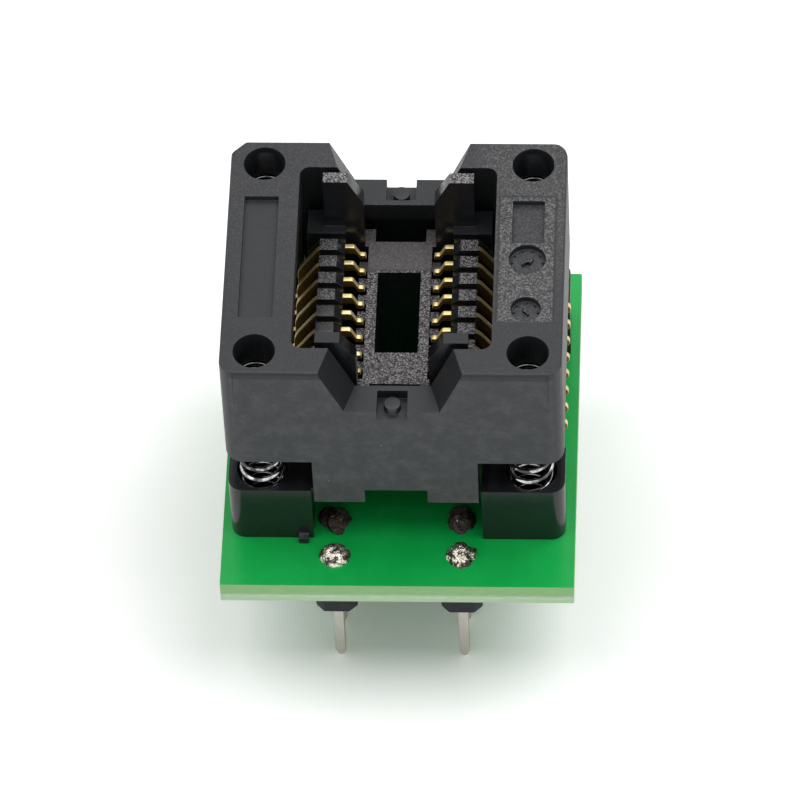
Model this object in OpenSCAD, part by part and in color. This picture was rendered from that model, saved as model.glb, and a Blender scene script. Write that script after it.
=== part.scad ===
// Open-top test socket for a narrow small-outline chip, soldered to a board with two rows of plug-in pins.
// Pressing the cover opens both rows of contacts, and its four corner springs lift it again.
// Millimetres, +Z up. The origin is under the middle of the board, at the tips of the pins.

/* [Circuit board] */
// Width of the board, across the pin rows
board_w = 21.4; // [20.8:0.1:26]
// Length of the board, along the pin rows
board_l = 24.1; // [22.4:0.1:30]
// Thickness of the board
board_t = 1.6; // [0.8:0.1:2.4]
// Distance of the socket's middle behind the board's middle
socket_shift = 0.4; // [0:0.05:0.6]

/* [Pin headers] */
// Pins in each row
pins_per_row = 8; // [6:1:8]
// Spacing of the pins along a row
pin_pitch = 2.54; // [2:0.02:2.6]
// Distance between the two rows
row_spacing = 7.62; // [7:0.02:8]
// How far the rows sit towards the front of the board
header_shift = 0.85; // [0:0.05:0.9]
// Side of a square pin
pin_w = 0.64; // [0.5:0.02:0.66]
// Length of a pin below its plastic strip
pin_reach = 6; // [3:0.1:9]
// Share of a pin's width left at its tip
pin_tip_share = 0.45; // [0.3:0.05:0.8]
// Height and width of the plastic strip
strip_size = 2.54; // [2:0.02:2.6]
// Corner cut at each section of the strip
strip_cut = 0.5; // [0.2:0.05:0.7]
// Diameter of the plated holes for the pins
pin_hole_d = 1; // [0.96:0.02:1.2]

/* [Solder] */
// Diameter of a pin's solder joint
joint_d = 1.8; // [1.4:0.05:2]
// Height of a pin's solder joint above the board
joint_h = 0.75; // [0.5:0.05:0.8]
// Height of the pin's end inside its joint
pin_stub = 0.55; // [0.3:0.05:0.6]
// Diameter of the joint round a contact tail
tail_joint_d = 1.3; // [1:0.05:1.4]
// Height of the joint round a contact tail
tail_joint_h = 0.65; // [0.4:0.05:0.8]
// Share of a joint's width at the start of its rounded crown
crown_w_share = 0.56; // [0.52:0.02:0.7]
// Share of a joint's height below its rounded crown
crown_z_share = 0.8; // [0.75:0.05:0.9]

/* [Chip] */
// Width of the chip's body
chip_w = 3.9; // [3.6:0.1:4.4]
// How far the chip's body runs past the outer leads, both ends together
chip_overhang = 1.01; // [0.8:0.01:1.4]
// Room at each end of the chip's body
chip_play = 0.1; // [0.05:0.01:0.2]

/* [Contacts] */
// Contacts along each side
contacts_per_side = 8; // [4:1:8]
// Spacing of the contacts
contact_pitch = 1.27; // [1.15:0.01:1.35]
// Thickness of a contact blade
blade_t = 0.3; // [0.2:0.02:0.36]
// Room on each side of a moving blade
blade_play = 0.06; // [0.04:0.01:0.1]
// Room on each side of a blade's root in the floor
root_play = 0.02; // [0.01:0.01:0.04]
// Gap from the seat's side to the tip of a beak
beak_gap = 0.12; // [0.06:0.01:0.16]
// Width of the arm and of its leg
arm_w = 0.6; // [0.45:0.01:0.65]
// Height of the arm's top edge above the chip seat
arm_rise = 0.8; // [0.72:0.02:0.9]
// Distance from the bending point to the middle of the lever's end
lever_l = 3.81; // [3.6:0.01:3.9]
// Drop of the lever from the bending point to its end
lever_drop = 0.65; // [0.62:0.01:0.75]
// Radius of the lever's rounded end
lever_end_r = 0.45; // [0.35:0.01:0.5]
// Height of the leg above the bending point
leg_h = 2.9; // [2.6:0.05:3]
// Bend radius at the top of the leg
hip_r = 1.2; // [0.8:0.05:1.4]
// Step of the knee inside the comb's outer face
knee_inset = 0.13; // [0.1:0.01:0.3]
// Bend radius at the knee
knee_r = 0.6; // [0.4:0.05:0.8]
// Radius of the round head at the bending point
head_r = 0.37; // [0.3:0.01:0.42]
// Wall of the arm round that head
head_wall = 0.35; // [0.25:0.01:0.4]
// Running gap round that head
head_gap = 0.03; // [0.02:0.01:0.06]
// Width of the spring neck under that head
neck_w = 0.44; // [0.36:0.02:0.5]
// Width of a soldered tail
tail_w = 0.5; // [0.4:0.02:0.6]
// Length of a tail below the board
tail_reach = 0.9; // [0.6:0.05:1.4]
// Diameter of the plated holes for the tails
tail_hole_d = 0.8; // [0.7:0.02:0.9]
// Distance from the bending point to the inner row of tails
tail_inset = 0.06; // [0.02:0.01:0.2]
// Distance between the two staggered rows of tails
tail_stagger = 2.4; // [2:0.1:2.6]
// Length of a blade's root past its neck and past the outer row of tails
root_margin = 0.2; // [0.1:0.05:0.4]

/* [Base] */
// Gap between the board and the floor of the base
floor_gap = 1.8; // [1.4:0.05:2]
// Thickness of the floor
floor_t = 1.6; // [1.2:0.05:1.8]
// Height of the corner posts
post_h = 4.73; // [4.4:0.01:5]
// Length of a corner post across the socket
post_w = 5.03; // [4.4:0.01:5.2]
// Height of the bending points above the corner posts
pivot_rise = 1.67; // [1.5:0.01:1.8]
// Height of the chip seat above the bending points
seat_rise = 4.5; // [4.2:0.05:4.8]
// Height of the comb above the chip seat
comb_rise = 1.75; // [1.5:0.05:2.1]
// Distance from the seat's side to the comb
comb_gap = 1.35; // [1.25:0.01:1.5]
// Thickness of the comb
comb_t = 1.51; // [1.3:0.01:1.7]
// Distance from the comb to the bending points
pivot_gap = 1.2; // [1.1:0.01:1.3]
// Height of the outer partitions above the floor
partition_h = 1.6; // [1:0.05:1.8]
// Step of the base's sides inside the cover's sides
base_inset = 0.4; // [0.3:0.05:0.6]
// Drop of the end blocks below the chip seat
block_drop = 1.9; // [1.6:0.05:2.2]
// Gap between the end blocks and the window's sides
block_gap = 0.33; // [0.25:0.01:0.5]
// Corner cut along the comb's top, towards the chip
comb_cut = 0.45; // [0.3:0.05:0.6]
// Length of the seat's teeth between the beaks
tooth_l = 0.55; // [0.4:0.05:0.7]
// Height of those teeth
tooth_h = 1.2; // [0.8:0.05:1.6]
// Drop of those teeth below the chip seat
tooth_drop = 0.4; // [0.3:0.02:0.6]
// Gap between a tooth and the blades beside it
tooth_gap = 0.12; // [0.08:0.01:0.2]
// Distance from the outer contact slots to the corner posts
post_setback = 0.75; // [0.7:0.05:0.9]
// Step of the seat's sides inside the chip's sides
seat_inset = 0.02; // [0:0.01:0.05]
// Length of the seat past the guide posts' faces
seat_lip = 0.38; // [0.2:0.02:0.6]
// Width of the gap between the seat's two ears at an end
ear_gap = 3.05; // [2.6:0.05:3.2]
// Step of an ear inside the guide post's back
ear_inset = 0.07; // [0.04:0.01:0.2]
// Width of the opening through the chip seat
seat_hole_w = 2.6; // [2:0.05:2.8]
// Length of the opening through the chip seat
seat_hole_l = 6.1; // [4:0.1:7]
// Depth of a guide post, along the pin rows
guide_t = 1.42; // [1.2:0.02:1.6]
// Depth of a guide post's flat top
guide_top_t = 0.78; // [0.5:0.02:1]
// Width of a guide post at its foot
guide_w = 2.4; // [2.2:0.05:2.6]
// Width of a guide post's flat top
guide_top_w = 1.47; // [1:0.01:2]
// Height of the slanted shoulder below a guide post's top
guide_shoulder = 1.75; // [1.4:0.05:3]
// Step of a guide post inside the comb's outer face
guide_inset = 0.24; // [0.1:0.02:0.4]
// Height of a guide post's upright foot above the chip seat
guide_foot_h = 0.3; // [0.2:0.05:0.6]
// Radius of the posts' outer corners
post_r = 0.9; // [0.4:0.1:1.2]
// Width of the nib that marks the first contact
nib_w = 0.6; // [0.4:0.05:0.8]
// Depth of that nib
nib_d = 0.45; // [0.3:0.05:0.6]
// Height of that nib
nib_h = 0.5; // [0.3:0.05:0.8]
// Distance of that nib from the post's inner side
nib_inset = 0.3; // [0.1:0.05:0.6]

/* [Cover] */
// Travel of the cover
press_travel = 2.4; // [1.6:0.1:2.6]
// Gap left over the corner posts when the cover is down
press_gap = 0.47; // [0.42:0.01:0.7]
// Height of the cover's sides
cover_h = 8.65; // [8.4:0.05:9]
// Width of each side rail
rail_w = 4.22; // [3.8:0.02:4.8]
// Distance from the comb to the window's side
window_gap = 1.14; // [1:0.01:1.4]
// Thickness of the rails' top
rail_t = 1.6; // [1:0.05:1.8]
// Thickness of the outer side walls
side_wall = 1.25; // [0.8:0.05:1.5]
// Rise of the side walls' lower edges above the cover's lower ends
side_lift = 0.35; // [0.3:0.05:0.6]
// Depth of each end bridge
bridge_d = 1.99; // [1.9:0.01:2.3]
// Thickness of the end walls
end_wall = 1.42; // [1:0.02:1.5]
// Running gap between the cover and the base
guide_play = 0.15; // [0.08:0.01:0.25]
// Gap between the guide posts and the window's ends
window_end_gap = 0.41; // [0.3:0.01:0.5]
// Radius of the window's corners
window_r = 0.6; // [0.3:0.05:0.65]
// Radius of the cover's upright corners
cover_r = 1.1; // [0.7:0.1:1.2]
// Corner cut that marks the cover's first corner
index_cut = 0.95; // [0.8:0.05:1.1]
// Radius of the cover's top edges
edge_r = 0.2; // [0.15:0.05:0.4]
// Depth of the flared notch in each end
notch_d = 3.6; // [3:0.05:4.2]
// Width of the notch's floor at the window
notch_floor_w = 4.5; // [4:0.1:5.2]
// Width of the notch's mouth at the window
notch_mouth_w = 7.4; // [6.6:0.1:8]
// Extra half width of the notch at the outside
notch_flare = 0.6; // [0.2:0.05:0.8]
// Thickness of the bridge under the notch
bridge_t = 1.4; // [1:0.05:1.8]
// Width of the moulding recess on a bridge
gate_w = 1.8; // [1.2:0.1:2.4]
// Depth of the moulding recess
gate_d = 0.75; // [0.4:0.05:0.9]
// Wall between the moulding recess and the window
gate_wall = 0.38; // [0.3:0.01:0.5]
// Diameter of the moulding stub in that recess
stub_d = 1; // [0.6:0.05:1.1]
// Height of the moulding stub
stub_h = 0.5; // [0.3:0.05:0.7]
// Distance of the moulding stub's middle from the window
stub_inset = 1.13; // [1.05:0.01:1.2]
// Drop of the end tabs below the cover's sides
tab_drop = 3.95; // [3.7:0.05:4.2]
// Height of the cut between the two tabs of an end
tab_cut_h = 1.2; // [0.8:0.05:1.4]
// Width of the cut between the two tabs of an end
tab_cut_w = 3.75; // [3:0.05:5]
// Height of a retaining hook
hook_h = 0.85; // [0.6:0.05:1]
// Width of a retaining hook and of its lug
hook_w = 2; // [1.4:0.1:2.2]
// Gap between a hook and its lug when the cover is up
hook_gap = 0.05; // [0.03:0.01:0.15]
// Distance of a hook from the edge of its tab
hook_inset = 0.55; // [0.3:0.05:0.8]
// Reach of a hook's blunt lower edge
hook_lead = 0.4; // [0.2:0.05:0.6]

/* [Springs] */
// Distance of the springs' middle from the cover's sides
spring_inset_x = 2.05; // [1.9:0.05:2.2]
// Distance of the springs' middle from the cover's ends
spring_inset_y = 1.74; // [1.7:0.01:1.85]
// Outer diameter of a spring
spring_d = 2.8; // [2.4:0.05:2.85]
// Thickness of the spring wire
spring_wire = 0.3; // [0.2:0.02:0.4]
// Turns of a spring
spring_turns = 13; // [8:1:14]
// Gap between the closed turns at a spring's ends
turn_gap = 0.05; // [0.02:0.01:0.1]
// Gap between a spring's ends and their seats
seat_gap = 0.02; // [0.01:0.01:0.05]
// Room round a spring in its well and pocket
spring_play = 0.15; // [0.1:0.01:0.18]
// Diameter of the holes in the cover's top
core_hole_d = 2.5; // [1.6:0.1:2.7]
// Floor under a spring's well
well_floor = 1.2; // [0.8:0.1:1.6]
// Wall over a spring's pocket
pocket_roof = 2.6; // [1.6:0.1:3]

/* [Rail recesses] */
// Depth of the bare panels and dials
recess_d = 0.4; // [0.2:0.05:0.6]
// Distance of the right rail's recesses from the cover's side to their middle
recess_inset = 2.25; // [2.1:0.05:2.4]
// Distance of the left rail's panel from the cover's side to its middle
panel_inset = 2; // [1.9:0.05:2.2]
// Width of the left rail's panel
panel_w = 2.05; // [1.6:0.05:2.4]
// Length of the left rail's panel
panel_l = 9.2; // [6:0.1:9.6]
// Width of the right rail's small panel
small_panel_w = 1.9; // [1.4:0.1:2.4]
// Length of the right rail's small panel
small_panel_l = 3.2; // [2:0.1:3.4]
// Place of the small panel's middle along the rail
small_panel_y = 2.75; // [2.7:0.05:3]
// Diameter of the larger dial
dial_d = 2.2; // [1.6:0.1:2.4]
// Place of the larger dial along the rail
dial_y = -0.1; // [-0.4:0.05:-0.1]
// Diameter of the smaller dial
small_dial_d = 1.8; // [1.2:0.1:2]
// Place of the smaller dial along the rail
small_dial_y = -3.85; // [-4:0.05:-3.6]

/* [Hidden] */
$fn = 48;
sides = ["left", "right"];
corners = ["front_left", "front_right", "rear_left", "rear_right"];

// A small overlap where shapes merge, a margin past a face, and a reach that passes right through
merge = 0.05;
past = 1;
beyond = 40;

// Heights in the part's own frame, and the height of the board's top
strip_z = pin_reach;
board_z = strip_z + strip_size;
board_top = board_z + board_t;

// Heights above the board
floor_top = floor_gap + floor_t;
pivot_z = post_h + pivot_rise;
seat_z = pivot_z + seat_rise;
comb_z = seat_z + comb_rise;
cover_z = post_h + press_travel + press_gap;
cover_top = cover_z + cover_h;
tab_z = cover_z - tab_drop;
bridge_z = cover_top - notch_d;
block_z = seat_z - block_drop;

// Distances from the socket's middle, across the pin rows
seat_x = chip_w / 2 - seat_inset;
beak_x = seat_x + beak_gap;
comb_x = seat_x + comb_gap;
comb_out = comb_x + comb_t;
pivot_x = comb_out + pivot_gap;
window_x = comb_out + window_gap;
cover_x = window_x + rail_w;
base_x = cover_x - base_inset;
hollow_x = cover_x - side_wall;
post_x = cover_x - post_w;
skirt_x = post_x - guide_play;
block_x = window_x - block_gap;
guide_x = comb_out - guide_inset;
guide_foot = guide_x - guide_w;

// Distances from the socket's middle, along the pin rows
slot_w = blade_t + 2 * blade_play;
contact_span = (contacts_per_side - 1) * contact_pitch;
comb_y = (contact_span + slot_w) / 2;
stop_y = (contact_span + chip_overhang) / 2 + chip_play;
guide_y = stop_y + guide_t;
window_y = guide_y + window_end_gap;
cover_y = window_y + bridge_d;
end_wall_y = cover_y - end_wall;
post_y = comb_y + post_setback;
hollow_y = post_y - guide_play;
spring_x = cover_x - spring_inset_x;
spring_y = cover_y - spring_inset_y;
spring_r = spring_d / 2;
well_r = spring_r + spring_play;

// The retaining lugs and their hooks
hook_x = skirt_x - hook_inset - hook_w / 2;
hook_top = tab_z + hook_h;
lug_z = hook_top + hook_gap;
lug_y = end_wall_y - guide_play;

// Contact outline: the arm's middle line runs from its beak over the comb and down to the bending point
arm_top = seat_z + arm_rise;
arm_z = arm_top - arm_w / 2;
knee = [comb_out - knee_inset, arm_z];
hip = [pivot_x, pivot_z + leg_h];
seat_r = head_r + head_gap;
head_out = seat_r + head_wall;
tail_x = [pivot_x + tail_inset, pivot_x + tail_inset + tail_stagger];
root_start = pivot_x - neck_w / 2 - root_margin;
root_end = tail_x[1] + tail_w / 2 + root_margin;
// Beak outline: distance behind the beak's tip, and depth below the arm's top edge
beak_l = 0.95;
beak_outline = [
    [beak_l, 0], [0.84, 0], [0.74, 0.07], [0.63, 0.26], [0.53, 0.53], [0.46, 0.69], [0.4, 0.75], [0, 0.77],
    [0, 1.06], [0.1, 1.14], [0.42, 1.12], [0.66, 0.84], [beak_l, arm_w]
];
// Angles of the opening that lets an arm swing past its neck
swing_from = -130;
swing_to = -34;

plastic = [0.16, 0.16, 0.17];
gold = [0.83, 0.68, 0.32];
steel = [0.78, 0.78, 0.8];
tin = [0.75, 0.73, 0.7];
mask_green = [0.1, 0.55, 0.25];

function unit(v) = v / norm(v);
function turned(v, a) = [v.x * cos(a) - v.y * sin(a), v.x * sin(a) + v.y * cos(a)];

// Points of a round bend of radius r at b, on the way from a to c
function bend(a, b, c, r, steps = 5) =
    let (u = unit(a - b), v = unit(c - b), half = acos(u * v) / 2)
    let (centre = b + unit(u + v) * r / sin(half), from = b + u * r / tan(half) - centre)
    let (sweep = (180 - 2 * half) * sign(v.x * u.y - v.y * u.x))
    [for (k = [0:steps]) centre + turned(from, sweep * k / steps)];

// Outline of a strip of width w along a line of points
function sideways(pts, i) =
    let (a = pts[max(i - 1, 0)], b = pts[min(i + 1, len(pts) - 1)], d = unit(b - a))
    [-d.y, d.x];
function strip(pts, w) = concat(
    [for (i = [0:len(pts) - 1]) pts[i] - sideways(pts, i) * w / 2],
    [for (i = [len(pts) - 1:-1:0]) pts[i] + sideways(pts, i) * w / 2]
);

// Mirrors a child to both sides, or to all four corners, of the socket
module both_x() {
    children();
    mirror([1, 0, 0]) children();
}
module both_y() {
    children();
    mirror([0, 1, 0]) children();
}
module on_socket() {
    translate([0, socket_shift, board_top]) children();
}

// Stands an outline drawn in X and Z upright, with its thickness centred on y
module upright(y, t) {
    translate([0, y + t / 2, 0]) rotate([90, 0, 0]) linear_extrude(t) children();
}
// Stands an outline drawn in Y and Z upright, with its thickness from x0 to x1
module lengthways(x0, x1) {
    translate([x0, 0, 0]) rotate([90, 0, 90]) linear_extrude(x1 - x0) children();
}

module rounded_outline(x, y, r) {
    square([2 * x, 2 * (y - r)], center = true);
    square([2 * (x - r), 2 * y], center = true);
    both_x() both_y() translate([x - r, y - r]) circle(r);
}
// A profile from z0 to z1 with two rounded upper corners
module crowned_outline(x, z0, z1, r) {
    translate([-x, z0]) square([2 * x, z1 - z0 - r]);
    translate([r - x, z0]) square([2 * (x - r), z1 - z0]);
    both_x() translate([x - r, z1 - r]) circle(r);
}

// Circuit board with plated holes for the pins and the contact tails
module circuit_board() {
    color(mask_green) difference() {
        translate([-board_w / 2, -board_l / 2, board_z]) cube([board_w, board_l, board_t]);
        at_pins(-1) cylinder(d = pin_hole_d, h = beyond, center = true);
        at_pins(1) cylinder(d = pin_hole_d, h = beyond, center = true);
        both_x() at_tails() cylinder(d = tail_hole_d, h = beyond, center = true);
    }
}
module at_pins(side) {
    middle = (pins_per_row - 1) / 2;
    for (i = [0:pins_per_row - 1])
        translate([side * row_spacing / 2, (i - middle) * pin_pitch - header_shift, board_top]) children();
}
module at_tails() {
    for (i = [0:contacts_per_side - 1])
        translate([tail_x[i % 2], contact_y(i) + socket_shift, board_top]) children();
}
function contact_y(i) = contact_span / 2 - i * contact_pitch;

// Header strip: one corner-cut section for each pin, below the board
module header_strip(side) {
    h = strip_size / 2;
    p = pin_pitch / 2 + merge / 2;
    color(plastic) difference() {
        at_pins(side) translate([0, 0, strip_z - board_top]) linear_extrude(strip_size)
            polygon([
                [-h, strip_cut - p], [strip_cut - h, -p], [h - strip_cut, -p], [h, strip_cut - p],
                [h, p - strip_cut], [h - strip_cut, p], [strip_cut - h, p], [-h, p - strip_cut]
            ]);
        at_pins(side) cube([pin_w, pin_w, beyond * 2], center = true);
    }
}

// Square pins with tapered tips
module header_pins(side) {
    tip = pin_w;
    color(tin) at_pins(side) {
        translate([-pin_w / 2, -pin_w / 2, tip - board_top]) cube([pin_w, pin_w, board_top + pin_stub - tip]);
        translate([0, 0, tip - board_top]) mirror([0, 0, 1]) linear_extrude(tip, scale = pin_tip_share)
            square(pin_w, center = true);
    }
}

// A solder joint: hollow flanks under a rounded crown
module solder_joint(d, h) {
    crown_r = crown_w_share * d / 2;
    crown_z = crown_z_share * h;
    flank = [for (a = [0:22.5:90]) [d / 2 - (d / 2 - crown_r) * sin(a), crown_z * (1 - cos(a))]];
    dome = [for (a = [30:30:90]) [crown_r * cos(a), crown_z + (h - crown_z) * sin(a)]];
    rotate_extrude() polygon(concat([[0, 0]], flank, dome));
}
module pin_solder(side) {
    color(tin) at_pins(side) difference() {
        solder_joint(joint_d, joint_h);
        translate([-pin_w / 2, -pin_w / 2, -merge]) cube([pin_w, pin_w, pin_stub + merge]);
    }
}
module tail_solder(side) {
    color(tin) mirror([side < 0 ? 1 : 0, 0, 0]) at_tails() translate([0, 0, -board_t]) difference() {
        mirror([0, 0, 1]) solder_joint(tail_joint_d, tail_joint_h);
        cube([tail_w, blade_t, 2 * tail_reach], center = true);
    }
}

// Base: floor on four corner posts, chip seat, combs, guide posts and retaining lugs
module socket_base() {
    color(plastic) on_socket() difference() {
        union() {
            translate([-base_x, -guide_y, floor_gap]) cube([2 * base_x, 2 * guide_y, floor_t]);
            translate([-seat_x, -stop_y - seat_lip, floor_gap])
                cube([2 * seat_x, 2 * (stop_y + seat_lip), seat_z - floor_gap]);
            both_x() both_y() translate([ear_gap / 2, stop_y, block_z - merge])
                cube([guide_foot + merge - ear_gap / 2, guide_t - ear_inset, seat_z - block_z + merge]);
            both_y() translate([-block_x, stop_y, floor_gap])
                cube([2 * block_x, guide_t, block_z - floor_gap]);
            both_x() comb();
            both_x() seat_teeth();
            both_x() both_y() corner_post();
            both_x() both_y() guide_post();
            both_x() both_y() retaining_lug();
            index_nib();
        }
        translate([-seat_hole_w / 2, -seat_hole_l / 2, 0]) cube([seat_hole_w, seat_hole_l, beyond]);
        both_x() both_y() translate([spring_x, spring_y, well_floor]) cylinder(r = well_r, h = beyond);
        both_x() for (i = [0:contacts_per_side - 1]) translate([0, contact_y(i), 0]) root_slot();
    }
}
// Partitions between the blades: low outside, and tall at the comb that guides the arms
module comb() {
    profile = [
        [comb_x, floor_top - merge], [base_x, floor_top - merge], [base_x, floor_top + partition_h],
        [comb_out, floor_top + partition_h], [comb_out, comb_z], [comb_x + comb_cut, comb_z],
        [comb_x, comb_z - comb_cut]
    ];
    for (i = [0:contacts_per_side - 2])
        upright((contact_y(i) + contact_y(i + 1)) / 2, contact_pitch - slot_w) polygon(profile);
    both_y() upright((comb_y + post_y + merge) / 2, post_y + merge - comb_y) polygon(profile);
    both_y() translate([comb_x, comb_y, floor_top - merge])
        cube([block_x - comb_x, guide_y - comb_y, comb_z - floor_top + merge]);
}
// Teeth on the seat's sides that keep the beaks apart
module seat_teeth() {
    for (i = [0:contacts_per_side - 2])
        upright((contact_y(i) + contact_y(i + 1)) / 2, contact_pitch - blade_t - 2 * tooth_gap)
            translate([seat_x - merge, seat_z - tooth_drop - tooth_h]) square([tooth_l + merge, tooth_h]);
}
module corner_post() {
    linear_extrude(post_h) {
        translate([post_x, post_y]) square([post_w - post_r, cover_y - post_y]);
        translate([post_x, post_y]) square([post_w, cover_y - post_y - post_r]);
        translate([cover_x - post_r, cover_y - post_r]) circle(post_r);
    }
}
// Guide post with a slanted inner shoulder and a lead-in that leans back from the chip's end
module guide_post() {
    top = cover_top;
    intersection() {
        upright((stop_y + guide_y) / 2, guide_t) polygon([
            [guide_foot, block_z - merge], [guide_x, block_z - merge], [guide_x, top],
            [guide_x - guide_top_w, top], [guide_foot, top - guide_shoulder]
        ]);
        lengthways(guide_foot, guide_x) polygon([
            [stop_y, block_z - merge], [guide_y, block_z - merge], [guide_y, top],
            [guide_y - guide_top_t, top], [stop_y, seat_z + guide_foot_h]
        ]);
    }
}
module retaining_lug() {
    lip_z = lug_z + hook_h / 2;
    lengthways(hook_x - hook_w / 2, hook_x + hook_w / 2) polygon([
        [guide_y - merge, lug_z], [lug_y, lug_z], [lug_y, lip_z], [guide_y - merge, lip_z + lug_y - guide_y]
    ]);
}
// Small block at the foot of one post that marks the first contact
module index_nib() {
    translate([-post_x - nib_inset - nib_w, -cover_y - nib_d, 0]) cube([nib_w, nib_d + merge, nib_h]);
}
// Slot through the floor that holds a blade's root
module root_slot() {
    w = blade_t + 2 * root_play;
    translate([root_start - root_play, -w / 2, floor_gap - merge])
        cube([root_end - root_start + 2 * root_play, w, floor_t + 2 * merge]);
}

// Cover: a window between two hollow rails, with a notched bridge and two hooked tabs at each end
module cover() {
    color(plastic) on_socket() {
        difference() {
            union() {
                cover_block();
                both_y() translate([-skirt_x, end_wall_y, tab_z])
                    cube([2 * skirt_x, end_wall, tab_drop + merge]);
            }
            linear_extrude(beyond) rounded_outline(window_x, window_y, window_r);
            both_x() translate([window_x - merge, -hollow_y, 0])
                cube([hollow_x - window_x + merge, 2 * hollow_y, cover_top - rail_t]);
            both_x() translate([hollow_x - merge, -hollow_y, 0])
                cube([side_wall + past, 2 * hollow_y, cover_z + side_lift]);
            both_y() translate([-skirt_x, window_y - merge, 0])
                cube([2 * skirt_x, end_wall_y - window_y + merge, bridge_z - bridge_t]);
            both_y() translate([-tab_cut_w / 2, window_y, 0])
                cube([tab_cut_w, bridge_d + merge, tab_z + tab_cut_h]);
            both_x() both_y() translate([spring_x, spring_y, 0]) {
                cylinder(r = well_r, h = cover_top - pocket_roof);
                cylinder(d = core_hole_d, h = beyond);
            }
            both_y() notch();
            both_y() translate([-gate_w / 2, window_y + gate_wall, bridge_z - gate_d])
                cube([gate_w, bridge_d, beyond]);
            rail_recesses();
        }
        both_y() translate([0, window_y + stub_inset, bridge_z - gate_d - merge])
            cylinder(d = stub_d, h = stub_h + merge);
        both_x() both_y() hook();
    }
}
// Outer block of the cover, with rounded top edges and one cut corner
module cover_block() {
    reach = index_cut + past;
    difference() {
        intersection() {
            translate([0, 0, cover_z]) linear_extrude(cover_h) rounded_outline(cover_x, cover_y, cover_r);
            upright(0, 2 * cover_y) crowned_outline(cover_x, cover_z, cover_top, edge_r);
            lengthways(-cover_x, cover_x) crowned_outline(cover_y, cover_z, cover_top, edge_r);
        }
        translate([-cover_x, cover_y, 0]) linear_extrude(beyond)
            polygon([[-past, -reach], [reach, past], [-past, past]]);
    }
}
// Notch with slanted sides that widen upwards and outwards
module notch() {
    f = notch_floor_w / 2;
    slope = (notch_mouth_w - notch_floor_w) / 2 / notch_d;
    flare = notch_flare / bridge_d;
    corner = [
        for (z = [0, notch_d + past], y = [-past, bridge_d + past])
            [f + slope * z + flare * y, window_y + y, bridge_z + z]
    ];
    across = [for (p = corner) [-p.x, p.y, p.z]];
    polyhedron(
        concat(corner, across),
        [[0, 2, 3, 1], [4, 5, 7, 6], [0, 1, 5, 4], [2, 6, 7, 3], [0, 4, 6, 2], [1, 3, 7, 5]]
    );
}
module rail_recesses() {
    middle = cover_x - recess_inset;
    z = cover_top - recess_d;
    translate([panel_inset - cover_x - panel_w / 2, -panel_l / 2, z]) cube([panel_w, panel_l, beyond]);
    translate([middle - small_panel_w / 2, small_panel_y - small_panel_l / 2, z])
        cube([small_panel_w, small_panel_l, beyond]);
    translate([middle, dial_y, z]) cylinder(d = dial_d, h = beyond);
    translate([middle, small_dial_y, z]) cylinder(d = small_dial_d, h = beyond);
}
module hook() {
    lengthways(hook_x - hook_w / 2, hook_x + hook_w / 2) polygon([
        [end_wall_y + merge, tab_z], [end_wall_y - hook_lead, tab_z], [window_y, tab_z + hook_h / 2],
        [window_y, hook_top], [end_wall_y + merge, hook_top]
    ]);
}

// Coil spring: a six-sided wire swept along a helix, with closed end turns
module spring(x, y) {
    wire_r = spring_wire / 2;
    z0 = well_floor + seat_gap + wire_r;
    z1 = cover_top - pocket_roof - seat_gap - wire_r;
    per_turn = 14;
    ring = 6;
    steps = spring_turns * per_turn;
    points = [
        for (k = [0:steps], j = [0:ring - 1])
            let (turn = k / per_turn, a = 360 * turn, b = 360 * (j + 0.5) / ring)
            let (r = spring_r - wire_r + wire_r * cos(b), z = z0 + (z1 - z0) * coil_rise(turn))
            [r * cos(a), r * sin(a), z + wire_r * sin(b)]
    ];
    walls = [
        for (k = [0:steps - 1], j = [0:ring - 1])
            let (n = (j + 1) % ring)
            [k * ring + j, k * ring + n, (k + 1) * ring + n, (k + 1) * ring + j]
    ];
    ends = [[for (j = [ring - 1:-1:0]) j], [for (j = [0:ring - 1]) steps * ring + j]];
    color(steel) on_socket() translate([x, y, 0]) polyhedron(points, concat(walls, ends));
}
// Share of the height reached after some turns: flat end turns, and an even pitch between them
function coil_rise(turn) =
    let (flat = (spring_wire + turn_gap) / (cover_top - pocket_roof - well_floor), open = spring_turns - 2)
    turn < 1 ? flat * turn
    : turn > spring_turns - 1 ? 1 - flat * (spring_turns - turn)
    : flat + (1 - 2 * flat) * (turn - 1) / open;

// Fixed half of a contact: soldered tail, root in the floor, and spring neck with a round head
module contact_stem(side, i) {
    tail = tail_x[i % 2];
    root_z = floor_gap + root_play;
    color(gold) on_socket() mirror([side < 0 ? 1 : 0, 0, 0]) upright(contact_y(i), blade_t) {
        translate([root_start, root_z]) square([root_end - root_start, floor_top - root_z]);
        translate([tail - tail_w / 2, -board_t - tail_reach])
            square([tail_w, board_t + tail_reach + root_z + merge]);
        translate([pivot_x - neck_w / 2, floor_top - merge]) square([neck_w, pivot_z - floor_top + merge]);
        translate([pivot_x, pivot_z]) circle(head_r);
    }
}

// Moving half of a contact: beak, arm over the comb, leg down to the bending point, and outer lever
module contact_arm(side, i) {
    y = contact_y(i);
    color(gold) on_socket() mirror([side < 0 ? 1 : 0, 0, 0]) difference() {
        upright(y, blade_t) {
            polygon(strip(arm_line(), arm_w));
            beak();
            lever();
            translate([pivot_x, pivot_z]) circle(head_out);
        }
        translate([pivot_x, y, pivot_z]) rotate([90, 0, 0])
            cylinder(r = seat_r, h = 2 * blade_t, center = true);
        upright(y, 2 * blade_t) translate([pivot_x, pivot_z]) neck_opening();
    }
}
function arm_line() =
    let (start = [beak_x + beak_l - merge, arm_z], foot = [pivot_x, pivot_z + (seat_r + head_out) / 2])
    concat([start], bend(start, knee, hip, knee_r), bend(knee, hip, foot, hip_r), [foot]);
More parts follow.
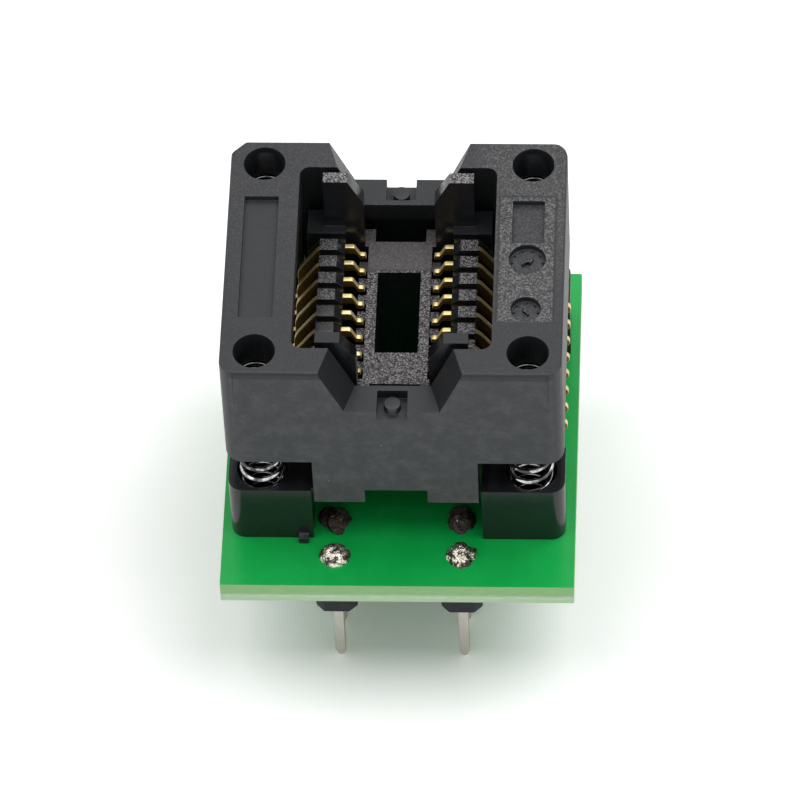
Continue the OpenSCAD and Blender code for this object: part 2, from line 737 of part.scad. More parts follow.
// Hooked nose of the arm, with a flat tip that presses on the chip's lead
module beak() {
    polygon([for (p = beak_outline) [beak_x + p.x, arm_top - p.y]]);
}
// Lever that the cover's side wall presses, with a rounded end
module lever() {
    tip = [pivot_x + lever_l, pivot_z - lever_drop];
    translate(tip) circle(lever_end_r);
    polygon([
        [pivot_x + seat_r, pivot_z - head_wall], tip - [0, lever_end_r],
        tip + [0, lever_end_r], [pivot_x + seat_r, pivot_z + head_wall]
    ]);
}
// Gap under the head that lets the arm swing past the neck
module neck_opening() {
    far = 3 * head_out;
    polygon([[0, 0], far * [cos(swing_from), sin(swing_from)], far * [cos(swing_to), sin(swing_to)]]);
}

circuit_board();
socket_base();
cover();
for (k = [0:1]) {
    s = sides[k];
    side = 2 * k - 1;
    header_strip(side);
    header_pins(side);
    pin_solder(side);
    tail_solder(side);
    for (i = [0:contacts_per_side - 1]) {
        contact_stem(side, i);
        contact_arm(side, i);
    }
}
for (k = [0:3]) {
    x = (k % 2 == 0 ? -1 : 1) * spring_x;
    y = (k < 2 ? -1 : 1) * spring_y;
    spring(x, y);
}
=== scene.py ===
import math

import bmesh
import bpy
import numpy as np
from mathutils import Matrix, Vector


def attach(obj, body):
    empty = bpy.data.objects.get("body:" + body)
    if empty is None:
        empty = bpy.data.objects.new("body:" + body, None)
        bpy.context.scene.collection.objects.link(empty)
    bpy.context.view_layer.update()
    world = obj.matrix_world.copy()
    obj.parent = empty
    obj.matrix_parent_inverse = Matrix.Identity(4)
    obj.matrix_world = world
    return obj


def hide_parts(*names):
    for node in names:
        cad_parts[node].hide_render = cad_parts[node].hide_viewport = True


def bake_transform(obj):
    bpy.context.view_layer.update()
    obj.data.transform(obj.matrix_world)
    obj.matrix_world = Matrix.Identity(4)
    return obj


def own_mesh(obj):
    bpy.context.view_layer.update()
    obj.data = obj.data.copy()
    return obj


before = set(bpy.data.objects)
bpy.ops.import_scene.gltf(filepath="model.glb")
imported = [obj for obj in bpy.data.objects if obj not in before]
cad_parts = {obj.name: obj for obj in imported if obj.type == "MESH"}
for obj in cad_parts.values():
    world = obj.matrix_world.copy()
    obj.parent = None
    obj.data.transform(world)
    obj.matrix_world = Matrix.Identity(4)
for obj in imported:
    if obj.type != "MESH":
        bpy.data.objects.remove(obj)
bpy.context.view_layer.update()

# Circuit board: a 1.6 mm sheet of glass cloth in resin with green lacquer on both faces, sawn out of a
# panel, so that its edges show the bare, pale cloth. The tails and the header pins are soldered through it.

MM = 0.001
BOARD_TOP = 10.14 * MM
BOARD_EDGE = 0.05 * MM
LACQUER = (0.004, 0.44, 0.075, 1)
LACQUER_THIN = (0.01, 0.53, 0.105, 1)
LACQUER_CLOUD = 2.5 * MM
PEEL_SIZE, PEEL_DEPTH = 0.5 * MM, 0.004 * MM
CLOTH_UPPER = (0.37, 0.71, 0.3, 1)
CLOTH_LOWER = (0.62, 0.9, 0.56, 1)
CLOTH_FIBRE = (0.74, 0.85, 0.62, 1)
CLOTH_PLY = (0.9, 0.95, 0.86, 1)
FIBRE_SIZE, FIBRE_STRETCH, FIBRE_WANDER = 1.1 * MM, 11, 0.35 * MM
CLOTH_CHANGE = (0.8 * MM, 1.05 * MM)
PLY_DEPTH, PLY_BREAK = 1.16 * MM, 0.7 * MM
PLY_HALF = (0.09 * MM, 0.03 * MM)


def add(tree, kind, inputs=None, **settings):
    """Adds one node to a shader tree. Inputs are numbers, colours or other nodes' outputs, by socket."""
    made = tree.nodes.new(kind)
    for name, value in settings.items():
        setattr(made, name, value)
    for socket, value in (inputs or {}).items():
        if isinstance(value, bpy.types.NodeSocket):
            tree.links.new(value, made.inputs[socket])
        else:
            made.inputs[socket].default_value = value
    return made


def calc(tree, operation, a, b=0.0, c=0.0):
    """One sum on values that change over the surface."""
    return add(tree, "ShaderNodeMath", {0: a, 1: b, 2: c}, operation=operation).outputs[0]


def times(tree, first, *others):
    """Product of masks and shares."""
    for other in others:
        first = calc(tree, "MULTIPLY", first, other)
    return first


def rising(tree, value, start, gain):
    """Start plus gain times the value."""
    return calc(tree, "MULTIPLY_ADD", value, gain, start)


def apart(tree, value, middle):
    """How far a value is from its middle, to either side."""
    return calc(tree, "ABSOLUTE", calc(tree, "SUBTRACT", value, middle))


def between(tree, value, low, high):
    """Share from 0 at low to 1 at high, with a smooth start and end."""
    inputs = {"Value": value, "From Min": low, "From Max": high}
    return add(tree, "ShaderNodeMapRange", inputs, interpolation_type="SMOOTHSTEP").outputs[0]


def blended(tree, share, a, b):
    """Colour on the way from a to b."""
    return add(tree, "ShaderNodeMix", {0: share, 6: a, 7: b}, data_type="RGBA").outputs[2]


def noise(tree, where, size, detail=3.0, rough=0.55):
    """Cloudy value about 0.5, whose patches have the given size in metres."""
    inputs = {"Vector": where, "Scale": 1 / size, "Detail": detail, "Roughness": rough}
    return add(tree, "ShaderNodeTexNoise", inputs).outputs[0]


def stretched(tree, place, scale):
    """The place, scaled along each axis, so that a pattern on it runs longer or shorter there."""
    return add(tree, "ShaderNodeMapping", {"Vector": place, "Scale": scale}).outputs[0]


def finish(name, **constants):
    """New material with one shader, whose constant values are set on its own sockets."""
    material = bpy.data.materials.new(name)
    material.use_nodes = True
    tree = material.node_tree
    shader = tree.nodes["Principled BSDF"]
    for socket, value in constants.items():
        shader.inputs[socket.replace("_", " ")].default_value = value
    place = add(tree, "ShaderNodeTexCoord").outputs["Object"]
    return material, tree, shader, place


def axes_of(tree, vector):
    """The three coordinates of a place or a direction."""
    return add(tree, "ShaderNodeSeparateXYZ", {0: vector}).outputs


def facing_of(tree):
    """The three coordinates of the way in which the surface faces."""
    return axes_of(tree, add(tree, "ShaderNodeNewGeometry").outputs["Normal"])


def feed(tree, shader, **values):
    """Links values that change over the surface to the shader's sockets."""
    for socket, value in values.items():
        tree.links.new(value, shader.inputs[socket.replace("_", " ")])


def dented(tree, height, depth):
    """Normal of a surface whose height, from 0 to 1, stands for the given depth in metres."""
    return add(tree, "ShaderNodeBump", {"Height": height, "Distance": depth, "Strength": 1.0}).outputs[0]


def softened(node, width, material, body="adapter"):
    """Copy of a CAD solid with its doubles merged and every sharp edge rounded to the given width."""
    shell = bmesh.new()
    shell.from_mesh(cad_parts[node].data)
    bmesh.ops.remove_doubles(shell, verts=shell.verts, dist=1e-7)
    bmesh.ops.dissolve_limit(shell, angle_limit=0.01, verts=shell.verts, edges=shell.edges)
    mesh = bpy.data.meshes.new(node + "_soft")
    shell.to_mesh(mesh)
    shell.free()
    mesh.shade_smooth()
    mesh.materials.clear()
    mesh.materials.append(material)
    piece = bpy.data.objects.new(node + "_soft", mesh)
    bpy.context.scene.collection.objects.link(piece)
    edge = piece.modifiers.new("edges", "BEVEL")
    edge.width = width
    edge.segments = 2
    edge.limit_method = "ANGLE"
    edge.angle_limit = math.radians(35)
    even = piece.modifiers.new("normals", "WEIGHTED_NORMAL")
    even.weight = 100
    even.keep_sharp = True
    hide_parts(node)
    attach(piece, body)


board_look, tree, shader, place = finish("green_board", IOR=1.5, Specular_IOR_Level=0.4)
face = between(tree, calc(tree, "ABSOLUTE", facing_of(tree)[2]), 0.6, 0.9)
cloud = noise(tree, place, LACQUER_CLOUD)
lacquer = blended(tree, times(tree, between(tree, cloud, 0.3, 0.75), 0.5), LACQUER, LACQUER_THIN)
fibre = noise(tree, stretched(tree, place, (1, 1, FIBRE_STRETCH)), FIBRE_SIZE, 5.0, 0.7)
below = calc(tree, "SUBTRACT", BOARD_TOP, axes_of(tree, place)[2])
ragged = rising(tree, calc(tree, "SUBTRACT", fibre, 0.5), below, FIBRE_WANDER)
cloth = blended(tree, between(tree, ragged, *CLOTH_CHANGE), CLOTH_UPPER, CLOTH_LOWER)
cloth = blended(tree, times(tree, between(tree, fibre, 0.5, 0.7), 0.5), cloth, CLOTH_FIBRE)
ply = between(tree, apart(tree, ragged, PLY_DEPTH), *PLY_HALF)
broken = between(tree, noise(tree, place, PLY_BREAK, 4.0, 0.7), 0.42, 0.58)
cloth = blended(tree, times(tree, ply, broken), cloth, CLOTH_PLY)
orange_peel = noise(tree, place, PEEL_SIZE, 2.0)
feed(
    tree, shader,
    Base_Color=blended(tree, face, cloth, lacquer),
    Roughness=rising(tree, face, rising(tree, cloud, 0.62, 0.08), -0.4),
    Normal=dented(tree, times(tree, orange_peel, face), PEEL_DEPTH),
)
softened("circuit_board", BOARD_EDGE, board_look)

# Header strips and pins: black nylon strips with cut corners between the pins, and square brass pins, tinned
# bright and pressed through the strips. The strips lie under the board and hold the pins upright for
# soldering.

STRIP_EDGE, PIN_EDGE = 0.1 * MM, 0.05 * MM
NYLON_DARK = (0.008, 0.01, 0.012, 1)
NYLON_PALE = (0.02, 0.024, 0.028, 1)
NYLON_CLOUD = 0.6 * MM
NYLON_GRAIN, NYLON_GRAIN_DEPTH = 0.12 * MM, 0.006 * MM
TIN_DULL = (0.62, 0.57, 0.5, 1)
TIN_BRIGHT = (0.82, 0.79, 0.74, 1)
DRAWN_WIDTH, DRAWN_DEPTH, DRAWN_STRETCH = 0.09 * MM, 0.004 * MM, 0.08

strip_look, tree, shader, place = finish("header_nylon", IOR=1.5, Specular_IOR_Level=0.25)
cloud = noise(tree, place, NYLON_CLOUD)
feed(
    tree, shader,
    Base_Color=blended(tree, cloud, NYLON_DARK, NYLON_PALE),
    Roughness=rising(tree, cloud, 0.34, 0.2),
    Normal=dented(tree, noise(tree, place, NYLON_GRAIN), NYLON_GRAIN_DEPTH),
)
pin_look, tree, shader, place = finish("tinned_brass", Metallic=1.0)
streak = noise(tree, stretched(tree, place, (1, 1, DRAWN_STRETCH)), DRAWN_WIDTH)
feed(
    tree, shader,
    Base_Color=blended(tree, streak, TIN_DULL, TIN_BRIGHT),
    Roughness=rising(tree, streak, 0.2, 0.22),
    Normal=dented(tree, streak, DRAWN_DEPTH),
)
for side in ("left", "right"):
    softened(f"header_strip_{side}", STRIP_EDGE, strip_look)
    softened(f"header_pins_{side}", PIN_EDGE, pin_look)

# Solder joints: made by hand, so each is a lump of its own, bright where the metal shows and brown where
# burnt flux is left on it. Sixteen hold the header pins on top, and the eight of a row differ in how much
# flux they have. The second joint from the front of each row is given so much that it is dark all over,
# as painted shade under the cover's tabs. Sixteen hold the contact tails below.

SIDES = (("left", -1), ("right", 1))
IN_ROW = np.arange(8)
PIN_X, PIN_PITCH, PIN_MIDDLE_Y = 3.81, 2.54, -0.85
PIN_Y = (IN_ROW - 3.5) * PIN_PITCH + PIN_MIDDLE_Y
CONTACT_PITCH, CONTACT_REAR_Y = 1.27, 4.845
CONTACT_Y = CONTACT_REAR_Y - CONTACT_PITCH * IN_ROW
TAIL_X = np.where(IN_ROW % 2, 8.45, 6.05)
PIN_LUMP = {"foot": 10.1, "radius": 0.9, "height": 0.7}
TAIL_LUMP = {"foot": 8.58, "radius": 0.68, "height": -0.72}
LUMP_ROWS, LUMP_COLUMNS, LUMP_WAVES = 19, 48, 10
SWELL, LEAN = 0.11, 0.07
# Flux share of each joint in a row, from the front: real flux on most, and on the second joint so much that
# it is dark all over, as painted shade under the cover's tabs.
FLUX_AND_SHADE_LEFT = np.array([0.07, 0.26, 0.06, 0.0, 0.08, 0.03, 0.1, 0.04])
SOLDER_BRIGHT = (0.86, 0.8, 0.7, 1)
FLUX_AND_SHADE_BROWN = (0.035, 0.024, 0.012, 1)
FLUX_PATCH = 0.4 * MM
WRINKLE, GLINT, WRINKLE_DEPTH = 0.5 * MM, 0.14 * MM, 0.18 * MM


def surface(name, grids, material):
    """Mesh of one or more grids of points in mm. Rows follow the piece, columns run round it and close on
    themselves, each cell is one face, and a flat face closes the first and the last row."""
    grids = np.asarray(grids, float)
    grids = grids[None] if grids.ndim == 3 else grids
    count, rows, columns = grids.shape[:3]
    index = np.arange(count * rows * columns).reshape(count, rows, columns)
    after = np.roll(index, -1, axis=2)
    cells = np.stack([index[:, :-1], after[:, :-1], after[:, 1:], index[:, 1:]], axis=-1).reshape(-1, 4)
    faces = cells.tolist() + index[:, 0, ::-1].tolist() + index[:, -1].tolist()
    mesh = bpy.data.meshes.new(name)
    mesh.from_pydata((grids.reshape(-1, 3) * MM).tolist(), [], faces)
    shell = bmesh.new()
    shell.from_mesh(mesh)
    bmesh.ops.recalc_face_normals(shell, faces=shell.faces)
    shell.to_mesh(mesh)
    shell.free()
    mesh.shade_smooth()
    mesh.materials.append(material)
    piece = bpy.data.objects.new(name, mesh)
    bpy.context.scene.collection.objects.link(piece)
    return piece


def lumps(centres, foot, radius, height, seed):
    """Solder lumps: a bell curve turned about each centre, whose radius and height swell by a few slow waves
    round it with random size and phase. Height counts from the board's face, and is negative below it."""
    draw = np.random.default_rng(seed)
    count = len(centres)
    t = np.linspace(0, 1, LUMP_ROWS)[None, :, None]
    turn = np.linspace(0, 2 * np.pi, LUMP_COLUMNS, endpoint=False)[None, None, :]
    wave = np.arange(1, LUMP_WAVES + 1)[:, None, None, None]
    size = draw.normal(0, SWELL, (LUMP_WAVES, count, 1, 1)) / np.sqrt(wave)
    phase = draw.uniform(0, 2 * np.pi, (LUMP_WAVES, count, 1, 1))
    swell = (size * np.cos(wave * turn[None] + phase + 2.2 * wave * t[None])).sum(0)
    across = np.cos(t * np.pi / 2) ** 0.8 * (1 - 0.16 * np.sin(np.pi * t) ** 2) + 0.01
    r = radius * across * (1 + swell * np.sin(np.pi * np.clip(t + 0.15, 0, 1)) * 1.4)
    up = np.sin(t * np.pi / 2) ** 1.15 * (1 + 1.6 * swell * (1 - t) * t * 2)
    lean = draw.normal(0, LEAN, (2, count, 1, 1)) * radius * t**2
    x = centres[:, 0, None, None] + r * np.cos(turn) + lean[0]
    y = centres[:, 1, None, None] + r * np.sin(turn) + lean[1]
    z = foot + height * up * np.ones_like(turn)
    return np.stack([x, y, z], axis=-1)


solder_look, tree, shader, place = finish("tin_solder", IOR=1.5)
wrinkle = noise(tree, place, WRINKLE, 4.0, 0.6)
glint = noise(tree, place, GLINT, 3.0, 0.6)
# Each joint's share of flux, which also carries the second joints' painted shade.
flux_and_shade_share = add(tree, "ShaderNodeAttribute", attribute_name="flux_and_shade_left").outputs["Fac"]
flux = calc(tree, "ADD", flux_and_shade_share, noise(tree, place, FLUX_PATCH, 5.0, 0.65))
flux = between(tree, flux, 0.52, 0.62)
feed(
    tree, shader,
    # Brown where flux is left, and all over the second joints from the front as painted shade.
    Base_Color=blended(tree, flux, SOLDER_BRIGHT, FLUX_AND_SHADE_BROWN),
    Metallic=rising(tree, flux, 1.0, -0.8),
    Roughness=rising(tree, glint, 0.04, 0.2),
    Normal=dented(tree, rising(tree, glint, wrinkle, 0.5), WRINKLE_DEPTH),
)
for side, sign in SIDES:
    pins = np.stack([np.full(len(IN_ROW), sign * PIN_X), PIN_Y], axis=1)
    grids = lumps(pins, **PIN_LUMP, seed=11 + sign)
    joint = surface(f"pin_solder_{side}_lumps", grids, solder_look)
    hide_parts(f"pin_solder_{side}")
    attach(joint, "adapter")
    # Flux share per joint, with the painted shade of the second joints, stored on the lumps' points.
    at_points = np.repeat(FLUX_AND_SHADE_LEFT, LUMP_ROWS * LUMP_COLUMNS)
    joint.data.attributes.new("flux_and_shade_left", "FLOAT", "POINT").data.foreach_set("value", at_points)
    tails = np.stack([sign * TAIL_X, CONTACT_Y], axis=1)
    grids = lumps(tails, **TAIL_LUMP, seed=31 + sign)
    joint = surface(f"tail_solder_{side}_lumps", grids, solder_look)
    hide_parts(f"tail_solder_{side}")
    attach(joint, "adapter")

# Socket base: one black glass-filled moulding with the floor, corner posts, chip seat, combs and guide
# posts, held on the board by its contacts' tails. Its mould was spark-eroded, so the rib tops, the seat and
# the rear post tops have a coarse grain. Pale specks in their colour are painted glints, set zone by zone
# after where the light falls, and the seat's rear plate is painted paler as a painted sheen.

BASE_EDGE = 0.06 * MM
RESIN_DARK = (0.012, 0.0135, 0.016, 1)
RESIN_PALE = (0.02, 0.0215, 0.025, 1)
RESIN_CLOUD = 1.5 * MM
# Colour of the painted glints.
BASE_PAINTED_GLINT = (0.7, 0.65, 0.67, 1)
BASE_PIT, BASE_PIT_DEPTH = 0.07 * MM, 0.12 * MM
# Paler colour of the seat's smooth rear plate: a painted sheen.
SEAT_PAINTED_SHEEN = (0.05, 0.045, 0.046, 1)
# Shares of coarse grain and of painted glints, zone by zone: more on the right ribs than on the left, as
# painted light that falls from the right.
SEAT_GRAIN_AND_PAINTED_GLINTS, SEAT_REAR_GRAIN_AND_PAINTED_GLINTS = 0.58, 0.1
LEFT_FRONT_RIBS_GRAIN_AND_PAINTED_GLINTS, LEFT_REAR_RIBS_GRAIN_AND_PAINTED_GLINTS, RIGHT_RIBS_GRAIN_AND_PAINTED_GLINTS = 0.06, 0.3, 0.5
REAR_POSTS_GRAIN_AND_PAINTED_GLINTS = 0.75
ROWS_MIDDLE_Y = 0.4 * MM
SQUARE_ON = (0.75, 0.95)
RIB_TOPS_Z, POST_TOPS_Z = (20.2 * MM, 20.5 * MM), (24.0 * MM, 25.0 * MM)
REAR_POSTS_Y, REAR_RIBS_Y = (-1.0 * MM, 1.0 * MM), (-1.0 * MM, 0.6 * MM)
RIGHT_RIBS_X, RIBS_END_Y = (-0.1 * MM, 0.1 * MM), (4.7 * MM, 4.6 * MM)
SEAT_REAR_Y, SEAT_SIDE_X = (3.5 * MM, 3.7 * MM), (2.7 * MM, 2.6 * MM)


def mixed(tree, share, a, b):
    """Value on the way from a to b."""
    return add(tree, "ShaderNodeMix", {0: share, 2: a, 3: b}).outputs[0]


def spark_grain():
    """Node group: height of the pits that spark erosion leaves in a mould, for a pit size in metres, and a
    random share for each pit, from 0 for most to 1 for a few, by which a painted glint is laid on its facet."""
    group = bpy.data.node_groups.new("spark_grain", "ShaderNodeTree")
    group.interface.new_socket("Size", in_out="INPUT", socket_type="NodeSocketFloat")
    group.interface.new_socket("Height", in_out="OUTPUT", socket_type="NodeSocketFloat")
    group.interface.new_socket("Painted_glint", in_out="OUTPUT", socket_type="NodeSocketFloat")
    given = group.nodes.new("NodeGroupInput")
    result = group.nodes.new("NodeGroupOutput")
    place = add(group, "ShaderNodeTexCoord").outputs["Object"]
    scale = calc(group, "DIVIDE", 1.0, given.outputs["Size"])
    pits = add(group, "ShaderNodeTexVoronoi", {"Vector": place, "Scale": scale})
    inputs = {"Vector": place, "Scale": scale, "Detail": 3.0, "Roughness": 0.65}
    fine = add(group, "ShaderNodeTexNoise", inputs).outputs[0]
    chance = add(group, "ShaderNodeSeparateColor", {0: pits.outputs["Color"]}).outputs[0]
    group.links.new(rising(group, pits.outputs["Distance"], fine, 0.5), result.inputs["Height"])
    group.links.new(calc(group, "POWER", chance, 2.2), result.inputs["Painted_glint"])
    return group


GRAIN = spark_grain()


def grain(tree, size):
    """Height of the mould's pits, and each pit's share of painted glint."""
    return add(tree, "ShaderNodeGroup", {"Size": size}, node_tree=GRAIN).outputs


base_look, tree, shader, place = finish("base_moulding", IOR=1.44)
axes = axes_of(tree, place)
upward = between(tree, facing_of(tree)[2], *SQUARE_ON)
tall = between(tree, axes[2], *RIB_TOPS_Z)
post_top = between(tree, axes[2], *POST_TOPS_Z)
rear_posts = between(tree, axes[1], *REAR_POSTS_Y)
rear_ribs = between(tree, axes[1], *REAR_RIBS_Y)
right_ribs = between(tree, axes[0], *RIGHT_RIBS_X)
# Each zone's share of coarse grain and of painted glints.
left_ribs_grain_and_glints = mixed(tree, rear_ribs, LEFT_FRONT_RIBS_GRAIN_AND_PAINTED_GLINTS, LEFT_REAR_RIBS_GRAIN_AND_PAINTED_GLINTS)
ribs = mixed(tree, right_ribs, left_ribs_grain_and_glints, RIGHT_RIBS_GRAIN_AND_PAINTED_GLINTS)
ribs = times(tree, ribs, between(tree, apart(tree, axes[1], ROWS_MIDDLE_Y), *RIBS_END_Y))
seat_rear = between(tree, axes[1], *SEAT_REAR_Y)
seat = mixed(tree, seat_rear, SEAT_GRAIN_AND_PAINTED_GLINTS, SEAT_REAR_GRAIN_AND_PAINTED_GLINTS)
on_seat = between(tree, calc(tree, "ABSOLUTE", axes[0]), *SEAT_SIDE_X)
zone = mixed(tree, on_seat, ribs, seat)
zone = mixed(tree, post_top, zone, times(tree, rear_posts, REAR_POSTS_GRAIN_AND_PAINTED_GLINTS))
top = times(tree, upward, tall)
coarse = times(tree, top, zone)
pits = grain(tree, BASE_PIT)
cloud = noise(tree, place, RESIN_CLOUD)
resin = blended(tree, cloud, RESIN_DARK, RESIN_PALE)
# The seat's rear plate is painted paler as a painted sheen.
resin = blended(tree, times(tree, top, on_seat, seat_rear), resin, SEAT_PAINTED_SHEEN)
# Painted glints: pale specks on some of the pits in the coarse zones.
resin = blended(tree, times(tree, pits["Painted_glint"], coarse), resin, BASE_PAINTED_GLINT)
relief = times(tree, pits["Height"], rising(tree, coarse, 0.05, 0.95))
feed(
    tree, shader,
    Base_Color=resin,
    Roughness=rising(tree, coarse, rising(tree, cloud, 0.05, 0.08), 0.1),
    Normal=dented(tree, relief, BASE_PIT_DEPTH),
)
softened("socket_base", BASE_EDGE, base_look)

# Contacts: sixteen flat stampings of gold-plated spring copper, eight a side. Each root is pressed into its
# slot in the floor, with its tail below, and the blade stands on a thin neck, which bends as the contact
# opens.

BLADE_T, BLADE_EDGE, BLADE_STEP = 0.3, 0.03, 0.3
GOLD = (0.92, 0.72, 0.28, 1)
GOLD_BRIGHT = (1.0, 0.86, 0.46, 1)
# Dark brown of the stampings' flat faces: painted shade between the close-set blades.
GOLD_PAINTED_SHADE = (0.21, 0.13, 0.034, 1)
GOLD_CLOUD = 1.1 * MM
SHEAR_WIDTH, SHEAR_DEPTH, SHEAR_STRETCH = 0.06 * MM, 0.002 * MM, 0.12
BEAK_X, ARM_TOP = 2.05, 11.7


def rounded(corners, steps=6):
    """Closed outline, counter-clockwise: each corner (x, z, radius) is replaced by the arc that touches both
    of its sides. The arc turns about a point on the corner's bisector, from one point of contact to the
    other."""
    corners = np.asarray(corners, float)
    p, r = corners[:, :2], corners[:, 2:]
    to_last = np.roll(p, 1, axis=0) - p
    to_next = np.roll(p, -1, axis=0) - p
    to_last /= np.linalg.norm(to_last, axis=1, keepdims=True)
    to_next /= np.linalg.norm(to_next, axis=1, keepdims=True)
    half = np.arccos(np.clip((to_last * to_next).sum(1, keepdims=True), -0.9999, 0.9999)) / 2
    bisector = to_last + to_next
    bisector /= np.linalg.norm(bisector, axis=1, keepdims=True)
    middle = p + bisector * r / np.sin(half)
    spoke = p + to_last * r / np.tan(half) - middle
    way = -np.sign(to_last[:, :1] * to_next[:, 1:] - to_last[:, 1:] * to_next[:, :1])
    turn = way * (np.pi - 2 * half) * np.linspace(0, 1, steps)[None, :]
    x = spoke[:, :1] * np.cos(turn) - spoke[:, 1:] * np.sin(turn) + middle[:, :1]
    z = spoke[:, :1] * np.sin(turn) + spoke[:, 1:] * np.cos(turn) + middle[:, 1:]
    return np.stack([x, z], axis=-1).reshape(-1, 2)


def stepped(outline, step):
    """The same outline with further points on its long straight runs, no more than a step apart."""
    closed = np.vstack([outline, outline[:1]])
    along = np.concatenate([[0], np.cumsum(np.linalg.norm(np.diff(closed, axis=0), axis=1))])
    keep = np.concatenate([[True], np.diff(along[:-1]) > 1e-4])
    stations = np.unique(np.concatenate([along[:-1][keep], np.arange(0, along[-1] - step / 2, step)]))
    stations = stations[np.concatenate([[True], np.diff(stations) > 0.02])]
    return np.stack([np.interp(stations, along, closed[:, k]) for k in (0, 1)], axis=1)


def stamping(outline, thickness, edge):
    """Flat stamping: its outline carried through the sheet's thickness, drawn in by a round at both faces."""
    along = np.roll(outline, -1, axis=0) - np.roll(outline, 1, axis=0)
    out = np.stack([along[:, 1], -along[:, 0]], axis=1)
    out /= np.linalg.norm(out, axis=1, keepdims=True)
    angle = np.linspace(-np.pi / 2, 0, 4)
    drawn_in = edge * (1 - np.cos(angle))
    level = -thickness / 2 + edge * (1 + np.sin(angle))
    drawn_in = np.concatenate([drawn_in, drawn_in[::-1]])
    level = np.concatenate([level, -level[::-1]])
    flat = outline[None] - out[None] * drawn_in[:, None, None]
    depth = np.broadcast_to(level[:, None], flat.shape[:2])
    return np.stack([flat[..., 0], depth, flat[..., 1]], axis=-1)


BEAK = [
    (0.7, 0, 0.22), (0.36, 0.74, 0.12), (0, 0.77, 0.05),
    (0, 1.12, 0.08), (0.42, 1.12, 0.1), (0.6, 0.62, 0.2),
]
BLADE = rounded(
    [(6.21, 3.3, 0.05), (6.21, 6.06, 0.4), (10.25, 5.23, 0.44), (10.25, 6.17, 0.44), (6.29, 6.75, 0.5),
     (6.29, 9.386, 1.5), (4.825, 11.7, 0.9)]
    + [(BEAK_X + back, ARM_TOP - down, r) for back, down, r in BEAK]
    + [(4.495, 11.1, 0.3), (5.69, 9.212, 0.9), (5.69, 6.3, 0.6), (5.77, 5.4, 0.6), (5.77, 3.3, 0.05)]
)


def root_outline(tail):
    """Root in the floor, and the tail that goes through the board."""
    return rounded(
        [(tail - 0.12, -2.5, 0.04), (tail + 0.12, -2.5, 0.04), (tail + 0.25, -2.1, 0.08),
         (tail + 0.25, 1.82, 0.06), (8.9, 1.82, 0.05), (8.9, 3.4, 0.05), (5.57, 3.4, 0.05),
         (5.57, 1.82, 0.05), (tail - 0.25, 1.82, 0.06), (tail - 0.25, -2.1, 0.08)]
    )


def contact(name, outline, side, sign, k):
    """One half of a contact: its outline stamped out of the sheet and stood in its place in the row."""
    grid = stamping(stepped(outline, BLADE_STEP), BLADE_T, BLADE_EDGE)
    grid = grid * (sign, 1, 1) + (0, CONTACT_Y[k], BOARD_TOP / MM)
    return surface(f"{name}_{side}_{k + 1}", grid, gold_look)


gold_look, tree, shader, place = finish("gold_plate")
flat_side = between(tree, calc(tree, "ABSOLUTE", facing_of(tree)[1]), 0.9, 0.99)
plate = blended(tree, between(tree, noise(tree, place, GOLD_CLOUD), 0.35, 0.7), GOLD, GOLD_BRIGHT)
score = noise(tree, stretched(tree, place, (1, SHEAR_STRETCH, 1)), SHEAR_WIDTH)
feed(
    tree, shader,
    # The flat faces are painted dark brown as painted shade.
    Base_Color=blended(tree, flat_side, plate, GOLD_PAINTED_SHADE),
    Metallic=rising(tree, flat_side, 0.6, -0.15),
    Roughness=rising(tree, flat_side, rising(tree, score, 0.24, 0.16), 0.1),
    Normal=dented(tree, score, SHEAR_DEPTH),
)
for side, sign in SIDES:
    for k in IN_ROW:
        root = contact("contact_root", root_outline(TAIL_X[k]), side, sign, k)
        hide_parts(f"contact_stem_{side}_{k + 1}")
        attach(root, "adapter")
        blade = contact("contact_blade", BLADE, side, sign, k)
        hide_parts(f"contact_arm_{side}_{k + 1}")
        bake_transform(blade)

# Corner springs: four coils of drawn steel wire with closed ends, one in each corner post's well. They carry
# the cover and shorten as it is pressed down. The wire is painted dark as a painted dark reflection, with
# patches of painted glint along it, and the upper turns in the cover's pocket are left dark as painted shade.

SPRING_PLACES = {
    "front_left": (-8.1, -6.73),
    "front_right": (8.1, -6.73),
    "rear_left": (-8.1, 7.53),
    "rear_right": (8.1, 7.53),
}
WIRE_R, COIL_R, COIL_TURNS, CLOSED_GAP = 0.15, 1.25, 13, 0.05
COIL_FOOT, COIL_HEAD, COIL_START = 11.36, 23.77, 2.5
STEPS_PER_TURN, RING_POINTS = 30, 10
# Dark wire as a painted dark reflection, and the colour of its patches of painted glint.
STEEL_PAINTED_DARK = (0.09, 0.091, 0.094, 1)
STEEL_PAINTED_GLINT = (0.72, 0.72, 0.74, 1)
GLINT_PATCH_SIZE = 0.7 * MM
# Painted glints only below the cover's pocket; the turns above stay dark as painted shade.
GLINTS_BELOW_Z = (23.2 * MM, 22.6 * MM)


